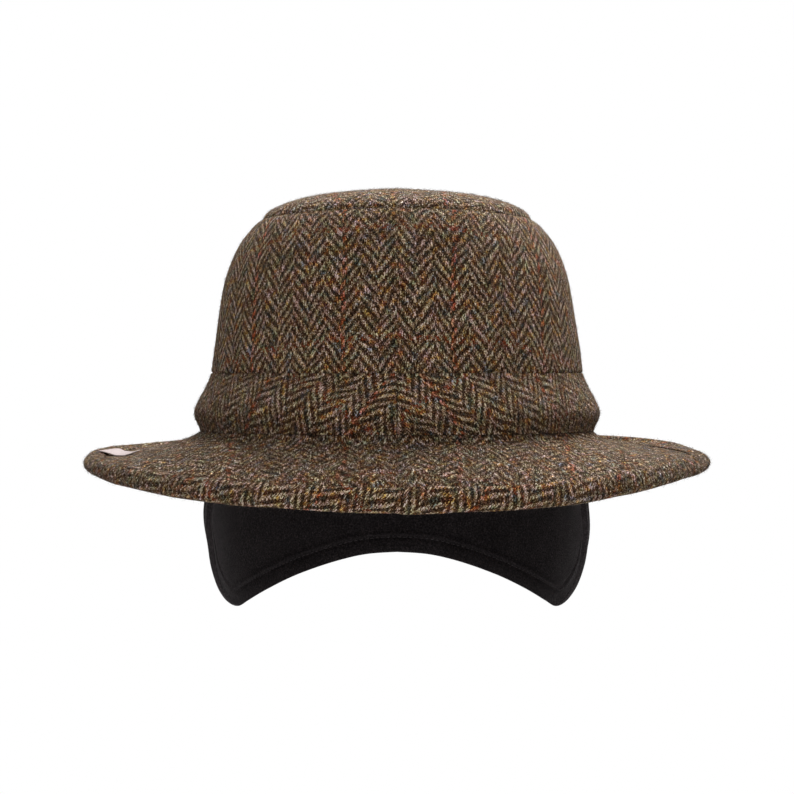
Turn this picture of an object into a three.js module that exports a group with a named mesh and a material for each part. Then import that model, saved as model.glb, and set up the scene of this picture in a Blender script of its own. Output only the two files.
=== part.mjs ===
// A soft tweed fedora with a fold-down ear flap, in millimetres.
// +Z is up and the wearer faces -Y. The origin is the middle of the head opening,
// level with the seam where the crown meets the brim.
import * as THREE from "three";

// Driving dimensions
const headHalfWidth = 84.5; // outer face of the crown at the brim seam
const ovalExtra = 19; // every oval reaches this much further to front and back than to the sides
const crownCloth = 2; // tweed with its fused backing
const brimCloth = 2.4; // two fused brim cloths
const bandCloth = 2; // doubled bias strip round the crown
const bindingCloth = 1; // bias strip folded over the brim edge
const flapCloth = 2.4; // doubled fleece
const ribbonCloth = 0.8; // woven label ribbon
const gap = 0.3; // clearance between sewn pieces
const topRise = 2; // the crown's top edge stands this much higher at front and back
const bandHeight = 24.4;
const bandFoot = 0.5; // the band's lower fold clears the brim by this much
const bindingLap = 1.2; // the binding starts this far inside the turned lip
const flapTop = 12; // the flap is sewn in this far above the brim seam

// Steps of the facets
const stepsAround = 48;
const lipSteps = 3;
const foldSteps = 3; // of the binding round the brim's edge
const flapSteps = 22; // on each half
const flapLevels = 7;
const ribbonSteps = 8;

// Side of the crown, from the brim seam to the top seam: height, and how far it stands in from the head oval
const crownSections = [
  { z: -2.5, inset: 0 },
  { z: 0.6, inset: -0.9 },
  { z: 3.5, inset: -1.8 },
  { z: 7.5, inset: -2 },
  { z: 12.5, inset: -0.7 },
  { z: 18, inset: 2.1 },
  { z: 24.4, inset: 4.7 },
  { z: 28, inset: 3.4 },
  { z: 46, inset: 5.8 },
  { z: 64, inset: 8.8 },
  { z: 74.5, inset: 12.3 },
  { z: 82, inset: 16.1 },
  { z: 88, inset: 20.3 },
  { z: 91.8, inset: 23.7 },
];

// Top of the crown, from its seam to its middle: share of the seam oval, and rise above the seam
const tipSections = [
  { share: 1, rise: 0 },
  { share: 0.935, rise: 3.5 },
  { share: 0.87, rise: 5.7 },
  { share: 0.76, rise: 8.2 },
  { share: 0.6, rise: 10.1 },
  { share: 0.4, rise: 11 },
  { share: 0.2, rise: 11.3 },
  { share: 0, rise: 11.4 },
];

// Brim at places round the hat, by degrees from the front turning to the wearer's left: width of the slope,
// its fall, the sag of its middle, and the width and drop of the lip, which is turned down at the front and
// up at the back. The lip leaves the slope towards the point at these shares of its width and drop.
const lipBend = { out: 0.8, down: 0.3 };
const brimPlaces = [
  { angle: -180, slope: 47, fall: 8.5, sag: 0, lip: 6, drop: -2.5 },
  { angle: -145, slope: 47, fall: 9.2, sag: 0, lip: 5.8, drop: -2 },
  { angle: -120, slope: 47, fall: 10.4, sag: 0.8, lip: 5.4, drop: -1 },
  { angle: -105, slope: 46.4, fall: 10.7, sag: 2.2, lip: 5, drop: -0.4 },
  { angle: -90, slope: 45.2, fall: 11.4, sag: 3.4, lip: 4.8, drop: 1.4 },
  { angle: -75, slope: 44.6, fall: 12.4, sag: 2.8, lip: 4.5, drop: 3.2 },
  { angle: -60, slope: 43.3, fall: 14.4, sag: 1.4, lip: 4.3, drop: 4.6 },
  { angle: -45, slope: 41.7, fall: 16.6, sag: 0.5, lip: 4.1, drop: 6 },
  { angle: -20, slope: 39.6, fall: 18.6, sag: 0, lip: 4, drop: 7.6 },
  { angle: 0, slope: 39, fall: 19.2, sag: 0, lip: 4, drop: 8.4 },
  { angle: 20, slope: 39.6, fall: 18.8, sag: 0, lip: 4, drop: 7.9 },
  { angle: 45, slope: 41.7, fall: 16.1, sag: 0.5, lip: 4.1, drop: 6.1 },
  { angle: 60, slope: 43.3, fall: 13, sag: 1.4, lip: 4.3, drop: 4.4 },
  { angle: 75, slope: 44.6, fall: 11.2, sag: 2.6, lip: 4.5, drop: 2.9 },
  { angle: 90, slope: 45.4, fall: 10.9, sag: 3, lip: 4.6, drop: 2 },
  { angle: 105, slope: 46.4, fall: 10.2, sag: 2, lip: 5, drop: 0.2 },
  { angle: 120, slope: 47, fall: 8.9, sag: 0.6, lip: 5.4, drop: -1.4 },
  { angle: 145, slope: 47, fall: 8.3, sag: 0, lip: 5.8, drop: -2.4 },
  { angle: 180, slope: 47, fall: 8.5, sag: 0, lip: 6, drop: -2.5 },
];

// Slope of the brim from the crown to the lip: share of its width, and share of its fall
const slopeSections = [
  { out: 0, down: 0 },
  { out: 0.09, down: 0.17 },
  { out: 0.27, down: 0.33 },
  { out: 0.52, down: 0.53 },
  { out: 0.77, down: 0.75 },
  { out: 1, down: 1 },
];

// Hang of the ear flap: height, and how far it stands in from the head oval
const flapHang = [
  { z: -82, inset: 9 },
  { z: -68, inset: 4 },
  { z: -55, inset: 1.1 },
  { z: -40, inset: -0.2 },
  { z: -20, inset: 0.8 },
  { z: -2.5, inset: 2.35 },
  { z: flapTop, inset: 2.35 },
];

// Free edge of the ear flap, from the temple to the nape: degrees from the front, and height
const flapEdge = [
  { angle: 66, z: -2 },
  { angle: 73, z: -21 },
  { angle: 81, z: -44 },
  { angle: 90, z: -61 },
  { angle: 100, z: -73 },
  { angle: 110, z: -78.5 },
  { angle: 119, z: -77 },
  { angle: 131, z: -72 },
  { angle: 145, z: -66.5 },
  { angle: 162, z: -61 },
  { angle: 180, z: -59 },
];

// Side label: a ribbon sewn to the binding, its free end waving over the brim. It starts at a distance out
// from the crown and heads inwards, turned to the front by an angle.
const label = { angle: -95, start: 44.5, heading: 40, width: 9.5, length: 18, tilt: 2 };
const labelWave = [
  { along: 0, lift: 1.8 },
  { along: 0.2, lift: 1.9 },
  { along: 0.45, lift: 1.5 },
  { along: 0.75, lift: 0.8 },
  { along: 1, lift: 0.5 },
];

const finishes = {
  tweed: { color: 0x54432f, roughness: 0.95 },
  fleece: { color: 0x171617, roughness: 0.9 },
  ribbon: { color: 0xd9cfcc, roughness: 0.7 },
};

const radians = THREE.MathUtils.degToRad;

// A point of an oval at an angle from the front, turning towards +X
function onOval(degrees, halfWidth, reach, z) {
  const angle = radians(degrees);
  return new THREE.Vector3(halfWidth * Math.sin(angle), -reach * Math.cos(angle), z);
}

// A value of the brim at any angle, running smoothly through its places
function roundTheBrim(column, degrees) {
  const angle = THREE.MathUtils.euclideanModulo(degrees + 180, 360) - 180;
  const last = brimPlaces.length - 1;
  const next = Math.max(1, brimPlaces.findIndex((row) => row.angle >= angle));
  const place = (i, turn) => ({ angle: brimPlaces[i].angle + turn, value: brimPlaces[i][column] });
  const before = next > 1 ? place(next - 2, 0) : place(last - 1, -360);
  const low = place(next - 1, 0);
  const high = place(next, 0);
  const after = next < last ? place(next + 1, 0) : place(1, 360);
  const span = high.angle - low.angle;
  const rise = high.value - low.value;
  const leaving = (span * (high.value - before.value)) / (high.angle - before.angle);
  const arriving = (span * (after.value - low.value)) / (after.angle - low.angle);
  const t = (angle - low.angle) / span;
  const square = 3 * rise - 2 * leaving - arriving;
  const cube = leaving + arriving - 2 * rise;
  return low.value + t * (leaving + t * (square + t * cube));
}

// The value of one column of a table at a place between its rows, which rise in the key column
function tableValue(rows, key, place, column) {
  const next = Math.max(1, rows.findIndex((row) => row[key] >= place));
  const [low, high] = [rows[next - 1], rows[next]];
  const share = (place - low[key]) / (high[key] - low[key]);
  return THREE.MathUtils.lerp(low[column], high[column], share);
}

// A flat outline moved sideways by a distance, to the right of its direction for a positive one
function offsetOutline(points, distance) {
  return points.map((point, i) => {
    const before = points[Math.max(0, i - 1)];
    const after = points[Math.min(points.length - 1, i + 1)];
    const along = after.clone().sub(before).normalize();
    return new THREE.Vector2(point.x + along.y * distance, point.y - along.x * distance);
  });
}

// A closed solid through sections with equal numbers of points. The first half of a section is one face
// of the wall, the second half is the other face in the opposite order. A ring joins its last section
// to its first, any other wall gets an end face at both ends.
function loft(sections, ring) {
  const count = sections[0].length;
  const corners = [];
  const triangle = (a, b, c) => {
    if (!a.equals(b) && !b.equals(c) && !c.equals(a)) corners.push(a, b, c);
  };
  const quad = (a, b, c, d) => {
    triangle(a, b, c);
    triangle(a, c, d);
  };
  const last = ring ? sections.length : sections.length - 1;
  for (let i = 0; i < last; i++) {
    const here = sections[i];
    const there = sections[(i + 1) % sections.length];
    for (let k = 0; k < count; k++) {
      const up = (k + 1) % count;
      quad(here[k], there[k], there[up], here[up]);
    }
  }
  if (!ring) {
    const first = sections[0];
    const final = sections[sections.length - 1];
    for (let k = 0; k < count / 2 - 1; k++) {
      const across = count - 1 - k;
      quad(first[across], first[k], first[k + 1], first[across - 1]);
      quad(final[k], final[across], final[across - 1], final[k + 1]);
    }
  }
  return new THREE.BufferGeometry().setFromPoints(corners);
}

// Angles round a whole oval, without the last one, which is the first again
function fullCircle() {
  return Array.from({ length: stepsAround }, (_, i) => (360 * i) / stepsAround);
}

// Height gained by the upper crown towards the front and the back
function riseAt(degrees, z) {
  const seamHeight = crownSections[crownSections.length - 1].z;
  const share = Math.max(0, z / seamHeight);
  return topRise * share * share * Math.cos(radians(degrees)) ** 2;
}

// Crown side: half-width and height of its outer face
const crownOuter = crownSections.map((row) => new THREE.Vector2(headHalfWidth - row.inset, row.z));
const crownInner = offsetOutline(crownOuter, -crownCloth);

// A loop of an upright wall at one angle, from the outlines of its two faces
function wallSection(degrees, outer, inner) {
  const place = (p) => onOval(degrees, p.x, p.x + ovalExtra, p.y + riseAt(degrees, p.y));
  return [...outer.map(place), ...inner.toReversed().map(place)];
}

function crownSide() {
  return loft(fullCircle().map((degrees) => wallSection(degrees, crownOuter, crownInner)), true);
}

// The top of the crown starts one gap past the side's upper edge and keeps its wall thickness
function crownTip() {
  const seam = crownOuter[crownOuter.length - 1];
  const below = crownOuter[crownOuter.length - 2];
  const onward = seam.clone().sub(below).setLength(gap);
  const edge = seam.clone().add(onward);
  const outer = tipSections.map((row) => new THREE.Vector2(edge.x * row.share, edge.y + row.rise));
  const inner = offsetOutline(outer, -crownCloth);
  inner[0].copy(crownInner[crownInner.length - 1]).add(onward);
  inner[inner.length - 1].x = 0;
  const lengthening = (edge.x + ovalExtra) / edge.x;
  const sections = fullCircle().map((degrees) => {
    const seamRise = riseAt(degrees, seam.y);
    const place = (p) => {
      const share = p.x / edge.x;
      const lift = p.x === 0 ? topRise / 2 : seamRise * share + (topRise / 2) * (1 - share);
      const reach = p.x * lengthening;
      return p.x === 0
        ? new THREE.Vector3(0, 0, p.y + lift)
        : onOval(degrees, p.x, reach, p.y + lift);
    };
    return [...outer.map(place), ...inner.toReversed().map(place)];
  });
  return loft(sections, true);
}

// Half of the hat band, sewn to the other half at the front and at the back
function bandHalf(fromDegrees, toDegrees) {
  const rows = crownSections.filter((row) => row.z > bandFoot + 1 && row.z < bandHeight - 1);
  const heights = [bandFoot, ...rows.map((row) => row.z), bandHeight];
  const crownFace = heights.map(
    (z) => new THREE.Vector2(headHalfWidth - tableValue(crownSections, "z", z, "inset"), z),
  );
  const inner = offsetOutline(crownFace, gap);
  const outer = offsetOutline(crownFace, gap + bandCloth);
  for (const line of [inner, outer]) {
    line[0].y = bandFoot;
    line[line.length - 1].y = bandHeight;
  }
  const seamTurn = THREE.MathUtils.radToDeg(gap / 2 / (headHalfWidth + ovalExtra));
  const steps = stepsAround / 2;
  const sections = [];
  for (let i = 0; i <= steps; i++) {
    const degrees = THREE.MathUtils.lerp(fromDegrees + seamTurn, toDegrees - seamTurn, i / steps);
    sections.push(wallSection(degrees, outer, inner));
  }
  return loft(sections, false);
}

// Upper face of the brim at one angle, from the crown to the edge: distance out from the crown, and height
function brimOutline(degrees) {
  const slope = roundTheBrim("slope", degrees);
  const fall = roundTheBrim("fall", degrees);
  const sag = roundTheBrim("sag", degrees);
  const lip = roundTheBrim("lip", degrees);
  const drop = roundTheBrim("drop", degrees);
  const points = slopeSections.map((row) => {
    const down = fall * row.down + sag * 4 * row.out * (1 - row.out);
    return new THREE.Vector2(slope * row.out, -down);
  });
  const start = points[points.length - 1];
  const bend = start.clone().add(new THREE.Vector2(lip * lipBend.out, -drop * lipBend.down));
  const end = start.clone().add(new THREE.Vector2(lip, -drop));
  const curl = new THREE.QuadraticBezierCurve(start, bend, end);
  return [...points, ...curl.getPoints(lipSteps).slice(1)];
}

// The brim's inner edge lies one gap outside the crown where the crown is widest beside it
const brimHalfWidth = headHalfWidth - tableValue(crownSections, "z", bandFoot, "inset") + gap;

function onBrim(degrees, point) {
  const halfWidth = brimHalfWidth + point.x;
  return onOval(degrees, halfWidth, halfWidth + ovalExtra, point.y);
}

function brim() {
  const sections = fullCircle().map((degrees) => {
    const upper = brimOutline(degrees);
    const lower = offsetOutline(upper, brimCloth);
    lower[0].x = upper[0].x;
    const place = (p) => onBrim(degrees, p);
    return [...lower.map(place), ...upper.toReversed().map(place)];
  });
  return loft(sections, true);
}

// One face of the binding at one angle, a clearance away from the brim: along the upper side of the lip,
// round the brim's edge and back along the under side
function bindingFace(upper, clearance) {
  const above = offsetOutline(upper, -clearance);
  const under = offsetOutline(upper, brimCloth + clearance);
  const lipStart = slopeSections.length - 1;
  const lap = upper[lipStart].clone().sub(upper[lipStart - 1]).setLength(bindingLap);
  const edge = upper[upper.length - 1];
  const middle = offsetOutline(upper, brimCloth / 2).pop();
  const spoke = edge.clone().sub(middle).setLength(brimCloth / 2 + clearance);
  const fold = [];
  for (let i = 1; i < foldSteps; i++) {
    const turn = (-Math.PI * i) / foldSteps;
    fold.push(spoke.clone().rotateAround(new THREE.Vector2(), turn).add(middle));
  }
  return [
    above[lipStart].clone().sub(lap),
    ...above.slice(lipStart),
    ...fold,
    ...under.slice(lipStart).reverse(),
    under[lipStart].clone().sub(lap),
  ];
}

function brimBinding() {
  const sections = fullCircle().map((degrees) => {
    const upper = brimOutline(degrees);
    const place = (p) => onBrim(degrees, p);
    const outer = bindingFace(upper, gap + bindingCloth).map(place);
    const inner = bindingFace(upper, gap).map(place);
    return [...outer.reverse(), ...inner];
  });
  return loft(sections, true);
}

// The ear flap hangs from inside the crown, from one temple round the nape to the other
function earFlap() {
  const half = new THREE.SplineCurve(flapEdge.map((row) => new THREE.Vector2(row.angle, row.z)));
  const edge = half.getPoints(flapSteps);
  const mirrored = edge
    .slice(0, -1)
    .reverse()
    .map((p) => new THREE.Vector2(360 - p.x, p.y));
  const sections = [...edge, ...mirrored].map((low) => {
    const face = (depth) => {
      const points = [];
      for (let i = 0; i <= flapLevels; i++) {
        const z = THREE.MathUtils.lerp(low.y, flapTop, i / flapLevels);
        const halfWidth = headHalfWidth - tableValue(flapHang, "z", z, "inset") - depth;
        points.push(onOval(low.x, halfWidth, halfWidth + ovalExtra, z));
      }
      return points;
    };
    return [...face(0), ...face(flapCloth).reverse()];
  });
  return loft(sections, false);
}

// The label runs from the binding over the brim, heading inwards and to the front. A corner is placed by
// its share of the length, its side (1 for the near edge, -1 for the far one) and its height on the wall.
function sideLabel() {
  const heading = radians(label.heading);
  const radius = brimHalfWidth + roundTheBrim("slope", label.angle);
  const wave = new THREE.SplineCurve(
    labelWave.map((row) => new THREE.Vector2(row.along, row.lift)),
  );
  const sections = wave.getPoints(ribbonSteps).map(({ x: along, y: lift }) => {
    const corner = (side, height) => {
      const length = label.length * along;
      const aside = (label.width / 2) * side;
      const out = label.start - length * Math.cos(heading) + aside * Math.sin(heading);
      const forward = length * Math.sin(heading) + aside * Math.cos(heading);
      const degrees = label.angle + THREE.MathUtils.radToDeg(forward / radius);
      const brimFace = brimOutline(degrees).map((p) => ({ out: p.x, z: p.y }));
      const z = tableValue(brimFace, "out", out, "z") + lift + height;
      return onBrim(degrees, new THREE.Vector2(out, z));
    };
    const far = label.tilt * along;
    return [corner(-1, far), corner(1, 0), corner(1, ribbonCloth), corner(-1, far + ribbonCloth)];
  });
  return loft(sections, false);
}

const hat = new THREE.Group();

function addPiece(name, geometry, finish) {
  geometry.computeVertexNormals();
  const piece = new THREE.Mesh(geometry, new THREE.MeshStandardMaterial(finish));
  piece.name = name;
  hat.add(piece);
}

addPiece("crown_side", crownSide(), finishes.tweed);
addPiece("crown_tip", crownTip(), finishes.tweed);
addPiece("band_left", bandHalf(0, 180), finishes.tweed);
addPiece("band_right", bandHalf(180, 360), finishes.tweed);
addPiece("brim", brim(), finishes.tweed);
addPiece("brim_binding", brimBinding(), finishes.tweed);
addPiece("ear_flap", earFlap(), finishes.fleece);
addPiece("side_label", sideLabel(), finishes.ribbon);

export default hat;
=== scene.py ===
# A soft tweed fedora with a fold-down fleece ear flap: the look of each piece, made round the fixed frame.
import math

import bmesh
import bpy
import numpy as np
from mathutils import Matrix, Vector
from mathutils.bvhtree import BVHTree


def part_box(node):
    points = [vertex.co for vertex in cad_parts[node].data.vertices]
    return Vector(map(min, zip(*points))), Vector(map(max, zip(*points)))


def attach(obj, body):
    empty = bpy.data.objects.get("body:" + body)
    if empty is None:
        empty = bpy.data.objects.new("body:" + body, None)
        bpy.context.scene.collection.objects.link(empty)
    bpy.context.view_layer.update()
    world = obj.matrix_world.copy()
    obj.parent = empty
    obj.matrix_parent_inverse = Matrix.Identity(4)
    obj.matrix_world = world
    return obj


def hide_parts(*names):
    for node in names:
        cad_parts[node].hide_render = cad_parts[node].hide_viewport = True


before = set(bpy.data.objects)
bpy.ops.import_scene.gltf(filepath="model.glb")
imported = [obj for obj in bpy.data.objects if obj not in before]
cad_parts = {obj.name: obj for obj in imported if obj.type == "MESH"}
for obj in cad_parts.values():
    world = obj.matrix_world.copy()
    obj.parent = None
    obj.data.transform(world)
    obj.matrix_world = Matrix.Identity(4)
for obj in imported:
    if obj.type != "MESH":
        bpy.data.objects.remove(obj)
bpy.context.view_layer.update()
scene = bpy.context.scene
mm = 0.001  # lengths below are in millimetres, meshes are in metres
fullTurn = 2 * math.pi
clothMap = "clothMm"  # UV map of the woven pieces, in millimetres of cloth
outsideFaces = "outside"  # face attribute: where fuzz may grow

crownBox = [np.array(corner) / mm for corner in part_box("crown_side")]
crownSwell = 2.0  # the crown is this much wider low down than at the brim seam
headHalfWidth = crownBox[1][0] - crownSwell
ovalExtra = crownBox[1][1] - crownBox[1][0]  # every oval reaches this much further to front and back
frontReach = headHalfWidth + ovalExtra
gap = 0.3  # clearance between sewn pieces


# Node helpers


class Output:
    # a node's output, which can be reckoned with like a number
    def __init__(self, tree, socket):
        self.tree = tree
        self.socket = socket

    def do(self, operation, *others):
        return calc(operation, self, *others)

    def __add__(self, other):
        return calc("ADD", self, other)

    def __sub__(self, other):
        return calc("SUBTRACT", self, other)

    def __rsub__(self, other):
        return calc("SUBTRACT", other, self)

    def __mul__(self, other):
        return calc("MULTIPLY", self, other)

    def __truediv__(self, other):
        return calc("DIVIDE", self, other)

    def __pow__(self, other):
        return calc("POWER", self, other)

    def __rpow__(self, other):
        return calc("POWER", other, self)


def treeOf(*values):
    return next(value.tree for value in values if isinstance(value, Output))


def feed(socket, value):
    if isinstance(value, Output):
        value.tree.links.new(value.socket, socket)
    else:
        socket.default_value = value


def addNode(tree, kind, inputs=None, **settings):
    made = tree.nodes.new(kind)
    for name, value in settings.items():
        setattr(made, name, value)
    for key, value in (inputs or {}).items():
        feed(made.inputs[key], value)
    return made


def result(tree, kind, inputs=None, key=0, **settings):
    return Output(tree, addNode(tree, kind, inputs, **settings).outputs[key])


def calc(operation, *values):
    return result(treeOf(*values), "ShaderNodeMath", dict(enumerate(values)), operation=operation)


def vectorMath(operation, *values):
    return result(treeOf(*values), "ShaderNodeVectorMath", dict(enumerate(values)), operation=operation)


def vector(*values):
    return result(treeOf(*values), "ShaderNodeCombineXYZ", dict(enumerate(values)))


def axesOf(place):
    parts = addNode(place.tree, "ShaderNodeSeparateXYZ", {0: place}).outputs
    return [Output(place.tree, part) for part in parts]


def scaled(place, *shares):
    return vectorMath("MULTIPLY", place, shares)


def mixFloat(share, first, second):
    tree = treeOf(share, first, second)
    return result(tree, "ShaderNodeMix", {0: share, 2: first, 3: second}, data_type="FLOAT")


def mixColour(share, first, second, blend="MIX"):
    wanted = {0: share, 6: first, 7: second}
    tree = treeOf(share, first, second)
    return result(tree, "ShaderNodeMix", wanted, 2, data_type="RGBA", blend_type=blend)


def shaded(colour, shares):
    return mixColour(1.0, colour, vector(*shares), "MULTIPLY")


def noise(place, scale, detail=2.0, roughness=0.5, key="Fac"):
    wanted = {"Vector": place, "Scale": scale, "Detail": detail, "Roughness": roughness}
    return result(place.tree, "ShaderNodeTexNoise", wanted, key, noise_dimensions="3D")


def stretched(value, amount):
    # noise keeps to its middle, so it is spread round it
    return (value - 0.5) * amount + 0.5


def powerOfTwo(value, amount):
    # a level round 1 from a noise round one half
    return 2.0 ** ((value - 0.5) * amount)


def rgb(*levels):
    # display values from 0 to 255 as a scene colour
    shares = [level / 255 for level in levels]
    linear = [share / 12.92 if share <= 0.04045 else ((share + 0.055) / 1.055) ** 2.4 for share in shares]
    return (*linear, 1.0)


def palette(place, stops):
    ramp = addNode(place.tree, "ShaderNodeValToRGB", {"Fac": place})
    marks = ramp.color_ramp.elements
    for i, (at, colour) in enumerate(stops):
        mark = marks[i] if i < 2 else marks.new(at)
        mark.position = at
        mark.color = rgb(*colour)
    return Output(place.tree, ramp.outputs["Color"])


def relief(height, strength, depth):
    wanted = {"Strength": strength, "Distance": depth * mm, "Height": height}
    return result(height.tree, "ShaderNodeBump", wanted)


def newMaterial(name):
    material = bpy.data.materials.new(name)
    material.use_nodes = True
    tree = material.node_tree
    tree.nodes.clear()
    shader = addNode(tree, "ShaderNodeBsdfPrincipled")
    surface = Output(tree, shader.outputs[0])
    addNode(tree, "ShaderNodeOutputMaterial", {"Surface": surface}, is_active_output=True)
    return material, tree, shader


def coat(shader, values):
    for name, value in values.items():
        feed(shader.inputs[name], value)


def inMillimetres(tree):
    return scaled(result(tree, "ShaderNodeTexCoord", key="Object"), 1 / mm, 1 / mm, 1 / mm)


# Finishes


tweed = {
    "endPitch": 0.966,  # warp yarns, counted across the cloth
    "pickPitch": 1.233,  # weft yarns, counted along it
    "columnEnds": 8,  # warp yarns in one herringbone column
    "lean": 0.3,  # how far a warp float leans with its twill
    "overlap": 0.3,  # picks by which a warp float covers the weft at its ends
    "warpRound": (1.1, 0.6),  # how round a float is across and along
    "weftRound": (0.6, 0.3),
    "warpLevel": (1.16, 0.06),  # painted shade: brightness as a share of the float's height, and the least
    "weftLevel": (0.5, 0.32),
    "sways": [(0.06, 3.2), (0.5, 0.7)],  # scale and reach: yarns never lie straight
    "fibres": {"across": 2.2, "along": 0.45, "lean": 0.1, "contrast": 13.0},
    "specks": {"across": 3.0, "along": 1.6, "contrast": 10.0},  # single fibres
    "floatContrast": 2.0,  # from one warp float to the next
    "patches": {"scale": 0.09, "contrast": 2.6},
    "brightest": 3.6,
    "heather": {"scale": 0.22, "spread": 2.7},  # patches where one colour of fibre gathers
    "colourFibres": (2.0, 0.7, 1.0),
    "yarnSpread": {"end": 0.55, "fibre": 0.4, "pick": 0.8},  # how far colours stray within a patch
    "yarnStep": {"end": 5.3, "pick": 5.7, "along": 0.3},  # in the noise, from one yarn to the next
    "slices": {"end": 4.1, "pick": 9.2, "tint": 31.0, "float": 3.7},  # each noise has its own
    "tints": {"plum": (1.11, 0.88, 1.06, 1), "olive": (0.98, 1.02, 0.76, 1), "spread": 2.6},
    "checkEnds": 48,  # overcheck: warp yarns from one bright line to the next
    "checkPicks": 38,
    "firstPick": 14,
    "brightCheck": (158, 62, 18),
    "dullCheck": (110, 54, 36),
    "checkShow": {"warp": 1.0, "weft": 0.6, "dull": 0.6},
    "checkBreaks": {"scale": 0.3, "least": 0.3, "contrast": 2.4},
    # fibre colours, the rarer ones at the ends
    "warp": [
        (0.08, (108, 106, 100)),  # blue grey
        (0.22, (120, 110, 78)),  # olive
        (0.35, (150, 131, 112)),  # grey beige
        (0.47, (126, 106, 85)),  # brown
        (0.57, (157, 136, 104)),  # sand
        (0.69, (144, 120, 104)),  # dull pink
        (0.83, (158, 124, 64)),  # ochre
        (1.0, (132, 76, 44)),  # rust
    ],
    "weft": [
        (0.15, (40, 42, 38)),  # dark teal
        (0.40, (50, 36, 23)),  # black brown
        (0.62, (64, 46, 30)),  # dark brown
        (0.95, (76, 42, 27)),  # maroon
    ],
    # raised fibres, brushed from front to back
    "nap": {"flecks": (0.9, 0.36, 0.9), "level": 0.29, "contrast": 13.0, "powers": (0.94, 1.01, 1.1)},
    "napTufts": {"scale": 0.45, "spread": 2.6},  # one colour each
    "napCover": {"scale": 0.35, "softens": 0.6, "level": 0.75},  # where it hides the weave
    "shadePowers": (0.84, 1.02, 1.24),
    "sheenTint": (196, 172, 152),
}


def bow(place, power):
    # 0 at both ends of a span and 1 in its middle
    return (place * (1.0 - place) * 4.0).do("MAXIMUM", 0.0) ** power


def swayed(cloth, wander):
    bent = cloth
    for scale, reach in tweed["sways"]:
        drift = vectorMath("SUBTRACT", noise(cloth, scale, 1.0, key="Color"), (0.5, 0.5, 0.5))
        bent = vectorMath("MULTIPLY_ADD", drift, (reach * wander, reach * wander, 0), bent)
    return axesOf(bent)


def herringbone(x, y):
    # a 2/2 twill that turns round at every column
    ends = x / tweed["endPitch"]
    picks = y / tweed["pickPitch"]
    end = ends.do("FLOOR")
    pick = picks.do("FLOOR")
    across = ends - end
    along = picks - pick
    column = (ends / tweed["columnEnds"]).do("FLOOR")
    turned = column.do("FLOORED_MODULO", 2.0)
    way = turned * -2.0 + 1.0
    inColumn = column * -tweed["columnEnds"] + end
    step = way * inColumn + pick + turned
    repeat = 4.0  # two yarns over and two under
    shed = step.do("FLOORED_MODULO", repeat)
    # place along each float, from 0 to 1
    rise = step + along + tweed["overlap"]
    warpPlace = rise.do("FLOORED_MODULO", repeat) / (2 + 2 * tweed["overlap"])
    weftPlace = (way * (shed - 2.5) + 0.5 + across) * 0.5
    warpAcross = (warpPlace - 0.5) * way * tweed["lean"] + across
    warpRound, weftRound = tweed["warpRound"], tweed["weftRound"]
    return {
        "end": end,
        "pick": pick,
        "way": way,
        "repeat": (rise / repeat).do("FLOOR"),
        "warpUp": warpPlace.do("LESS_THAN", 1.0),
        "warpHeight": bow(warpAcross, warpRound[0]) * bow(warpPlace, warpRound[1]),
        "weftHeight": bow(along, weftRound[0]) * bow(weftPlace, weftRound[1]),
    }


def overcheck(colour, line, spacing, broken, strength):
    # a bright and a dull line in turn, two yarns wide, each seen in broken stretches
    dull = tweed["checkShow"]["dull"]
    for check, goal, part in (("brightCheck", spacing // 2, 1.0), ("dullCheck", 0, dull)):
        here = line.do("COMPARE", goal + 0.5, 0.75)
        colour = mixColour(here * (broken * (strength * part)), colour, rgb(*tweed[check]))
    return colour


def yarnColour(cloth, x, y, sheared, weave):
    # heathered yarn changes along its length, and patches of fibre gather
    spread, step, slices = tweed["yarnSpread"], tweed["yarnStep"], tweed["slices"]
    heather, breaks, show = tweed["heather"], tweed["checkBreaks"], tweed["checkShow"]
    patches = stretched(noise(cloth, heather["scale"], 2.0, 0.6), heather["spread"])
    endPlace = vector(weave["end"] * step["end"], y * step["along"], slices["end"])
    endMix = stretched(noise(endPlace, 1.0), spread["end"])
    fibreMix = stretched(noise(scaled(sheared, *tweed["colourFibres"]), 1.0, 1.0), spread["fibre"])
    warpColour = palette(endMix + fibreMix + patches - 1.0, tweed["warp"])
    pickPlace = vector(x * step["along"], weave["pick"] * step["pick"], slices["pick"])
    pickMix = stretched(noise(pickPlace, 1.0), spread["pick"])
    weftColour = palette(pickMix + patches - 0.5, tweed["weft"])
    broken = (noise(cloth, breaks["scale"]) - breaks["least"]) * breaks["contrast"]
    endLine = weave["end"].do("FLOORED_MODULO", tweed["checkEnds"])
    pickLine = (weave["pick"] - tweed["firstPick"]).do("FLOORED_MODULO", tweed["checkPicks"])
    warpColour = overcheck(warpColour, endLine, tweed["checkEnds"], broken, show["warp"])
    weftColour = overcheck(weftColour, pickLine, tweed["checkPicks"], broken, show["weft"])
    return mixColour(weave["warpUp"], weftColour, warpColour)


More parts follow.
